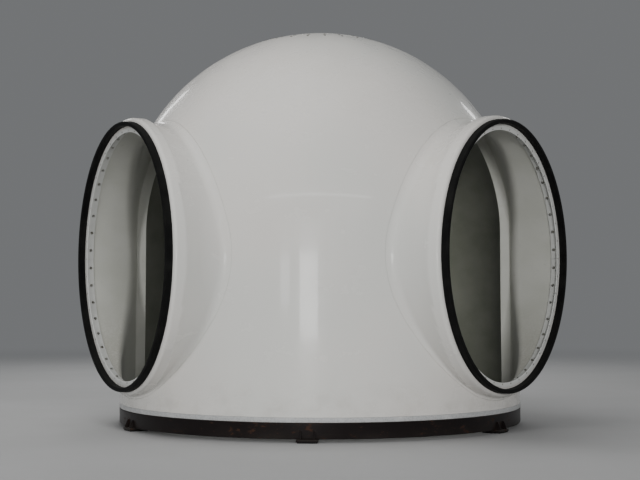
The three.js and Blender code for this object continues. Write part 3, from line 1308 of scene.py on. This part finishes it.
@dataclass(frozen=True)
class JointFlanges:
    """The laminate flanges turned inwards along the seams over and under the openings, with their bolts."""

    panels: ShellPanels
    depth: float = 0.080
    wall: float = 0.012
    fillet: float = 0.018
    pitch: float = 0.150
    end_room: float = 0.060  # length of a seam without bolts, both ends together
    bolt_share: float = 0.62  # of the depth
    seat_radius: float = 0.812

    def section(self) -> Array:
        """Section of a flange.

        Returns:
            Depth below the outer skin and distance from the seam of each point.
        """
        near, far, root = HALF_JOINT, HALF_JOINT + self.wall, 0.009
        return rounded([
            (root, near, 0.0),
            (self.depth, near, 0.002),
            (self.depth, far, 0.002),
            *web_foot(far, self.fillet, root),
        ], 3)

    def build(self) -> None:
        """Makes the flanges of each panel and the bolts through each seam."""
        strips = []
        for points, normals in self.runs():
            sides = np.tile([1.0, 0.0, 0.0], (len(points), 1))
            strips.append(swept(self.section(), points * (0.0, 1.0, 1.0), -normals, sides))
        for panel in Panel:
            piece = Piece(f"joint_flanges_{panel.label}", (LAMINATE,))
            piece.add(*panel.halves(strips, self.panels.form.height)).make("gelcoat")
        bolts = scattered(Bolt(0.022, 0.009, 0.028).patch(), self.places())
        placed = scattered(bolts, [opening.axes(self.panels.form.height) for opening in Opening])
        Piece("joint_bolts", (ZINC,)).add(placed).make("base_steel")

    def runs(self) -> list[tuple[Array, Array]]:
        """The stretches of the seams that have a flange, short of the seat of the nose ring.

        Returns:
            Points and normals of each, in the axes of the opening.
        """
        found = []
        for points, normals in self.panels.seams():
            kept = np.hypot(points[:, 0], points[:, 2]) > self.seat_radius
            found.append((points[kept], normals[kept]))
        return found

    def places(self) -> list[Axes]:
        """Places of the bolts on both sides of an opening's seams, in the axes of the opening.

        Returns:
            Axes at each place.
        """
        found = []
        for points, normals in self.runs():
            length = np.concatenate([[0], np.cumsum(np.linalg.norm(np.diff(points, axis=0), axis=1))])
            count = max(1, int((length[-1] - self.end_room) // self.pitch))
            for way in halfway(count) * length[-1]:
                point, normal = (np.array([np.interp(way, length, column) for column in grid.T])
                                 for grid in (points, normals))
                spot = point * (0.0, 1.0, 1.0) - normal * self.depth * self.bolt_share
                for side in (1.0, -1.0):
                    face = spot + (side * (HALF_JOINT + self.wall), 0.0, 0.0)
                    found.append(Axes.standing(face, np.array([side, 0.0, 0.0]), -normal))
        return found


@dataclass(frozen=True)
class Ribs:
    """The upright laminate ribs inside the panels, beside the openings, from the skirt to the nose ring."""

    bell: Bell
    turn: float = 19.0  # degrees from the middle of a panel
    depth: float = 0.130
    wall: float = 0.012
    fillet: float = 0.020
    seat_radius: float = 0.802
    steps: int = 60

    def section(self) -> Array:
        """Section of a rib.

        Returns:
            Depth below the outer skin and distance from the rib's middle of each point.
        """
        half = self.wall / 2
        side = [(self.depth, half, 0.003), *web_foot(half, self.fillet, WALL - 0.004)]
        return rounded([*side, *[(depth, -across, radius) for depth, across, radius in side[::-1]]], 3)

    def meridian(self) -> tuple[Array, Array]:
        """Points up the outer skin, where a rib stands.

        Returns:
            The points and normals, as reach and height.
        """
        skirt = np.linspace(self.bell.foot + WALL, self.bell.dome_height, self.steps // 3)[:-1]
        climb = np.linspace(0, math.acos(self.seat_radius / self.bell.dome_radius), self.steps)
        dome, normals = self.bell.dome(self.bell.dome_radius * np.cos(climb))
        upright = np.column_stack([self.bell.radius(skirt), skirt])
        return np.vstack([upright, dome]), np.vstack([np.tile([1.0, 0.0], (len(skirt), 1)), normals])

    def build(self) -> None:
        """Makes two ribs for each panel."""
        for panel in Panel:
            piece = Piece(f"panel_ribs_{panel.label}", (FLOWCOAT,))
            for turn in np.radians([panel.value - self.turn, panel.value + self.turn]):
                origins, outward = (pairs[:, :1] * ray(turn) + pairs[:, 1:] * UP for pairs in self.meridian())
                sides = np.tile(np.cross(UP, ray(turn)), (len(origins), 1))
                piece.add(swept(self.section(), origins, -outward, sides))
            piece.make("gelcoat")


# Rings, seals and stand


@dataclass(frozen=True)
class ClampRings:
    """The painted angle rings inside the ends of the collars, in segments, with their bolts."""

    form: SpinnerForm
    inner_radius: float = 1.345
    depth: float = 0.090
    wall: float = 0.012
    segments: int = 6
    bolts: int = 42
    bolt_share: float = 0.62  # of the depth

    @property
    def outer(self) -> float:
        """Outer radius, just inside the bore of the collar."""
        return self.form.collar_radius - WALL - FIT

    def build(self) -> None:
        """Makes the rings and their fasteners."""
        gap, arc = math.degrees(HALF_JOINT / self.inner_radius), 360.0 / self.segments
        for opening in Opening:
            axes = opening.axes(self.form.height)
            ring = Piece(f"opening_ring_{opening.label}", (SATIN,), 40.0)
            for start in arc * np.arange(self.segments):
                ring.add(turned(self.section(), axes, start + gap, start + arc - gap, 40))
            ring.make("clamp_ring", ring.name)
            fixing = Piece(f"opening_ring_bolts_{opening.label}", (ZINC,))
            fixing.add(*(patch.placed(axes) for patch in self.fasteners())).make("base_steel")

    def section(self) -> Array:
        """Section of the angle.

        Returns:
            Radius and distance out of each point.
        """
        plane, leg = self.form.plane, self.outer - self.wall
        return rounded([
            (self.outer, plane - self.depth, 0.002),
            (self.outer, plane, 0.002),
            (self.inner_radius, plane, 0.003),
            (self.inner_radius, plane - self.wall, 0.003),
            (leg, plane - self.wall, 0.006),
            (leg, plane - self.depth, 0.002),
        ], 3)

    def fasteners(self) -> list[Patch]:
        """The bolts on the leg and the screws on the face of one ring.

        Returns:
            The bolts and the screws, in the axes of the opening.
        """
        plane, leg = self.form.plane, self.outer - self.wall
        turns = 2 * math.pi * halfway(self.bolts)
        bolts = ring_places(turns, leg, plane - self.depth * self.bolt_share, (-1.0, 0.0), (0.0, 1.0))
        middle = (self.inner_radius + leg) / 2
        screws = ring_places(turns + math.pi / self.bolts, middle, plane, (0.0, 1.0), (1.0, 0.0))
        bolt, screw = Bolt(0.026, 0.010, 0.034), ButtonScrew(0.018, 0.004)
        return [scattered(bolt.patch(), bolts), scattered(screw.patch(), screws)]


@dataclass(frozen=True)
class Seals:
    """The rubber seals on the rims of the collars: a foot with a rounded bulb on it."""

    form: SpinnerForm
    outer: float
    depth: float
    inner: float = 1.410
    foot: float = 0.010
    inset: float = 0.002

    def section(self) -> Array:
        """Section of the seal.

        Returns:
            Radius and distance out of each point.
        """
        low = self.form.plane + REST
        top, shoulder = low + self.depth - FIT, low + self.foot
        return rounded([
            (self.inner, low, 0.0015),
            (self.outer, low, 0.0015),
            (self.outer, shoulder, 0.003),
            (self.outer - self.inset, shoulder + 0.003, 0.002),
            (self.outer - self.inset, top, 0.013),
            (self.inner + self.inset, top, 0.013),
            (self.inner + self.inset, shoulder + 0.003, 0.002),
            (self.inner, shoulder, 0.003),
        ], 6)

    def build(self) -> None:
        """Makes the three seals."""
        for opening in Opening:
            seal = Piece(f"opening_seal_{opening.label}", (RUBBER,), 50.0)
            seal.add(turned(self.section(), opening.axes(self.form.height), steps=240))
            seal.make("seal_rubber", seal.name)


@dataclass(frozen=True)
class BaseRing:
    """The galvanised channel under the skirt, the laminate flange that stands on it and their bolts."""

    outer: float
    bottom: float
    top: float
    width: float = 0.140
    wall: float = 0.008
    flange_width: float = 0.080
    bolts: int = 16
    bolt_share: float = 0.40  # of the flange's width, from its inner edge

    def channel(self) -> Array:
        """Section of the channel, open towards the axis.

        Returns:
            Radius and height of each point.
        """
        inner, wall = self.outer - self.width, self.wall
        return rounded([
            (inner, self.bottom, 0.002),
            (self.outer, self.bottom, 0.006),
            (self.outer, self.top, 0.006),
            (inner, self.top, 0.002),
            (inner, self.top - wall, 0.002),
            (self.outer - wall, self.top - wall, 0.004),
            (self.outer - wall, self.bottom + wall, 0.004),
            (inner, self.bottom + wall, 0.002),
        ], 3)

    def build(self) -> None:
        """Makes the three sections, the skirt flanges and the bolts."""
        low, high = self.top + REST, self.top + REST + WALL
        skin_face, rim = self.outer - WALL, self.outer - self.flange_width
        flange = rounded([
            (rim, low, 0.003),
            (skin_face + 0.006, low, 0.0),
            (skin_face + 0.006, high + 0.016, 0.0),
            (skin_face - 0.001, high + 0.016, 0.0),
            (skin_face - 0.017, high, 0.0),
            (rim, high, 0.003),
        ], 3)
        for panel in Panel:
            section = Piece(f"base_ring_{panel.label}", (GALVANISED,))
            section.add(panel.arc(self.channel(), self.outer)).make("base_steel", section.name)
            laid = Piece(f"skirt_flange_{panel.label}", (LAMINATE,))
            laid.add(panel.arc(flange, self.outer)).make("gelcoat")
            turns = np.radians(panel.value - 60.0 + 120.0 * halfway(self.bolts))
            reach = rim + self.flange_width * self.bolt_share
            places = ring_places(turns, reach, high, (0.0, 1.0), (1.0, 0.0))
            bolts = Piece(f"base_bolts_{panel.label}", (ZINC,))
            bolts.add(scattered(Bolt().patch(), places)).make("base_steel")


@dataclass(frozen=True)
class Stand:
    """The black ring of box section that carries the shell, with its joint plates, lugs and feet."""

    outer: float
    bottom: float
    top: float
    width: float = 0.120
    plate: float = 0.012
    plate_reach: float = 0.070  # inwards from the ring
    lap: float = 0.010  # how far a plate reaches into the ring
    lug_half_width: float = 0.160
    lug_tip_half_width: float = 0.045
    lug_foot: float = 0.025  # over the bottom of the ring
    lug_rise: float = 0.130
    lug_hole: float = 0.028
    lug_hole_drop: float = 0.060  # from the tip to the centre of the hole
    lug_wall: float = 0.020
    lug_proud: float = 0.004
    foot_width: float = 0.220
    feet: int = 6
    pad: float = 0.012
    gusset_rise: float = 0.085
    gusset_offset: float = 0.070
    gusset_half_wall: float = 0.005

    @property
    def inner(self) -> float:
        """Inner radius of the ring."""
        return self.outer - self.width

    def build(self) -> None:
        """Makes the ring sections with their lugs and joint plates, then the feet."""
        section = rectangle((self.inner, self.bottom), (self.outer, self.top), 0.010, 5)
        for panel in Panel:
            piece = Piece(f"stand_ring_{panel.label}", (BLACK, ZINC))
            piece.add(panel.arc(section, self.outer), *self.plates(panel), *self.joint_bolts(panel))
            if panel is not Panel.FRONT:
                piece.add(self.lug(panel.value))
            piece.make("stand_black", piece.name)
        for number in range(1, self.feet + 1):
            self.foot(number)

    def plates(self, panel: Panel) -> list[Patch]:
        """The end plates of a section, which stand in from the ring.

        Args:
            panel: the panel that the section carries.

        Returns:
            The two plates.
        """
        low, high = self.bottom + 0.004, self.top - 0.004
        near, far = self.inner - self.plate_reach, self.inner + self.lap
        section = rounded([(near, low, 0.012), (far, low, 0.0), (far, high, 0.0), (near, high, 0.012)])
        wall, gap = math.degrees(self.plate / self.inner), math.degrees(HALF_JOINT / self.outer)
        starts = (panel.value - 60 + gap, panel.value + 60 - gap - wall)
        return [turned(section, UPRIGHT, start, start + wall, 1) for start in starts]

    def joint_bolts(self, panel: Panel) -> list[Patch]:
        """Bolts through the end plates of a section.

        Args:
            panel: the panel that the section carries.

        Returns:
            The bolts.
        """
        radius = self.inner - self.plate_reach / 2
        template = replace(Bolt(0.028, 0.012, 0.036).patch(), finish=1)
        found = []
        for side in (1.0, -1.0):
            turn = math.radians(panel.value - 60.0 * side) + side * (HALF_JOINT + self.plate) / radius
            for share in (0.28, 0.72):
                spot = ray(turn) * radius + UP * (self.bottom + (self.top - self.bottom) * share)
                found.append(template.placed(Axes.standing(spot, np.cross(UP, ray(turn)) * side, ray(turn))))
        return found

    def lug(self, angle: float) -> Patch:
        """A lifting lug in front of the ring, with a hole in its tip.

        Args:
            angle: its place around the ring, in degrees.

        Returns:
            The lug.
        """
        bottom, tip = self.bottom + self.lug_foot, self.top + self.lug_rise
        corners = [(self.lug_half_width, bottom, 0.008), (self.lug_tip_half_width, tip, 0.035)]
        mirrored = [(-across, height, radius) for across, height, radius in corners]
        outline = rounded([mirrored[0], *corners, mirrored[1]], 6)
        hole = circle(self.lug_hole, 32) + (0.0, tip - self.lug_hole_drop)
        turn = math.radians(angle)
        axes = Axes.level(ray(turn) * (self.outer + self.lug_proud - self.lug_wall), turn)
        return pierced_plate(outline, hole, self.lug_wall).placed(axes)

    def foot(self, number: int) -> None:
        """Makes one foot: a steel plate on a rubber pad, with gussets up to the ring.

        Args:
            number: number of the foot, counted from the front.
        """
        low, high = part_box(f"stand_foot_{number}")
        centre, half = (low + high) / 2, self.foot_width / 2
        away = ray(math.atan2(centre.y, centre.x))
        side = np.cross(UP, away)
        axes = Axes(np.array([centre.x, centre.y, 0.0]), away, side, UP)
        square = rectangle((-half, -half), (half, half), 0.008)
        levels = [(0.002, self.pad), (0, self.pad + 0.002), (0, high.z - 0.002), (0.002, high.z)]
        plate = stacked(square, levels)
        rest = replace(stacked(square * 0.93, [(0.002, 0.0), (0, 0.002), (0, self.pad)]), finish=1)
        piece = Piece(f"stand_foot_{number}", (BLACK, RUBBER)).add(plate.placed(axes), rest.placed(axes))
        edge, reach, rise = self.outer - math.hypot(centre.x, centre.y), half - 0.006, self.gusset_rise
        start, land = edge - 0.003, 0.012
        gusset = [(start, 0.0), (reach, 0.0), (reach, land), (edge + land, rise), (start, rise)]
        faces = self.gusset_half_wall * np.array([-side, side])
        for place in (-self.gusset_offset, self.gusset_offset):
            spots = axes.origin + side * place + UP * (high.z - SUNK) + faces
            piece.add(swept(np.array(gusset), spots, np.array([away, away]), np.array([UP, UP])))
        piece.make("stand_black", piece.name)


# The studio


def aimed(made: bpy.types.Object, place: tuple, target: tuple) -> None:
    """Puts a lamp or camera in a place and points it at a target."""
    made.location = place
    made.rotation_euler = (Vector(target) - Vector(place)).to_track_quat("-Z", "Y").to_euler()


@dataclass(frozen=True)
class Studio:
    """Pale floor, soft lights, and the camera where the photograph was taken from."""

    eye: tuple[float, float, float] = (0.897, -16.245, 1.495)
    aim: tuple[float, float, float] = (0.0, 0.0, 2.10)
    lens: float = 79.0
    floor_size: float = 240.0

    def build(self) -> None:
        """Makes the floor, the air, the lights and the camera."""
        self.floor()
        middle = (0.0, 0.0, 2.0)
        self.lamp("overhead_softbox", (-3.0, -2.0, 12.0), middle, (10.0, 8.0), 720.0)
        self.lamp("front_softbox", (6.5, -23.0, 4.8), (0.0, 0.0, 1.2), (10.0, 4.0), 3300.0)
        self.lamp("left_softbox", (-13.0, -16.0, 5.0), middle, (5.0, 5.0), 1350.0)
        self.lamp("back_softbox", (-2.0, 14.0, 9.0), middle, (9.0, 6.0), 900.0)
        self.lamp("near_panel", (-1.1, -24.0, 1.66), (0.0, 0.0, 1.6), (3.9, 1.9), 200.0, True)
        self.lamp("far_panel", (-6.3, -23.5, 2.0), (0.0, 0.0, 1.6), (2.0, 1.1), 30.0, True)
        self.lamp("high_strip", (1.0, -24.0, 9.5), (0.0, 0.0, 2.5), (26.0, 0.5), 170.0, True)
        for side, name in ((-1.0, "left_rim_strip"), (1.0, "right_rim_strip")):
            self.lamp(name, (10.5 * side, 15.0, 9.5), (0.0, 0.0, 3.0), (1.2, 6.0), 110.0, True)
        data = bpy.data.cameras.new("photo_view")
        data.lens, data.clip_end = self.lens, 200.0
        bpy.context.scene.camera = linked("photo_view", data)
        aimed(bpy.context.scene.camera, self.eye, self.aim)

    def floor(self) -> None:
        """Makes the floor and the even light from the air around it."""
        mesh = bpy.data.meshes.new("studio_floor")
        corners = self.floor_size / 2 * np.array([(-1, -1, 0), (1, -1, 0), (1, 1, 0), (-1, 1, 0)])
        mesh.from_pydata(corners.tolist(), [], [(0, 1, 2, 3)])
        mesh.materials.append(StudioFloor().material())
        linked("studio_floor", mesh)
        world = bpy.data.worlds.new("studio_air")
        world.use_nodes = True
        world.node_tree.nodes["Background"].inputs["Color"].default_value = (*AIR, 1.0)
        bpy.context.scene.world = world

    def lamp(self, name: str, place: tuple, target: tuple, size: tuple[float, float], watts: float,
             mirrored: bool = False) -> None:
        """Makes a soft rectangular light.

        Args:
            name: its name.
            place: where it hangs.
            target: what it points at.
            size: its width and height.
            watts: its power.
            mirrored: whether it is only there to show in the glossy skin.
        """
        data = bpy.data.lights.new(name, "AREA")
        data.shape, data.energy = "RECTANGLE", watts
        data.size, data.size_y = size
        lamp = linked(name, data)
        aimed(lamp, place, target)
        lamp.visible_camera, lamp.visible_glossy, lamp.visible_diffuse = False, mirrored, not mirrored


def spinner_form() -> SpinnerForm:
    """The outer form, from the levels and reaches of the frame's solids.

    Returns:
        The form.
    """
    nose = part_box("nose_cap")[1].z
    base_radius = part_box("base_ring_front")[1].x / math.cos(math.radians(30))
    dome_radius = 2.275
    bell = Bell(base_radius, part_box("shell_panel_front")[0].z, dome_radius, nose - dome_radius)
    low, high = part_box("opening_seal_rear")
    return SpinnerForm(bell, (low.z + high.z) / 2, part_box("opening_ring_rear")[1].y)


def main() -> None:
    """Builds the sub-assemblies in order."""
    logging.basicConfig(level=logging.INFO, format="%(message)s")
    form = spinner_form()
    seal_low, seal_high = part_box("opening_seal_rear")
    base_low, base_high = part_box("base_ring_front")
    stand_low, stand_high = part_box("stand_ring_front")
    cap_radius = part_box("nose_cap")[1].x

    Studio().build()
    panels = ShellPanels(form, cap_radius)
    panels.build()
    OpeningCollars(form).build()
    Nose(form.bell, cap_radius).build()
    JointFlanges(panels).build()
    Ribs(form.bell).build()
    ClampRings(form).build()
    Seals(form, seal_high.x, seal_high.y - seal_low.y).build()
    BaseRing(form.bell.base_radius, base_low.z, base_high.z).build()
    Stand(form.bell.base_radius, stand_low.z, stand_high.z).build()


if __name__ == "__main__":
    main()
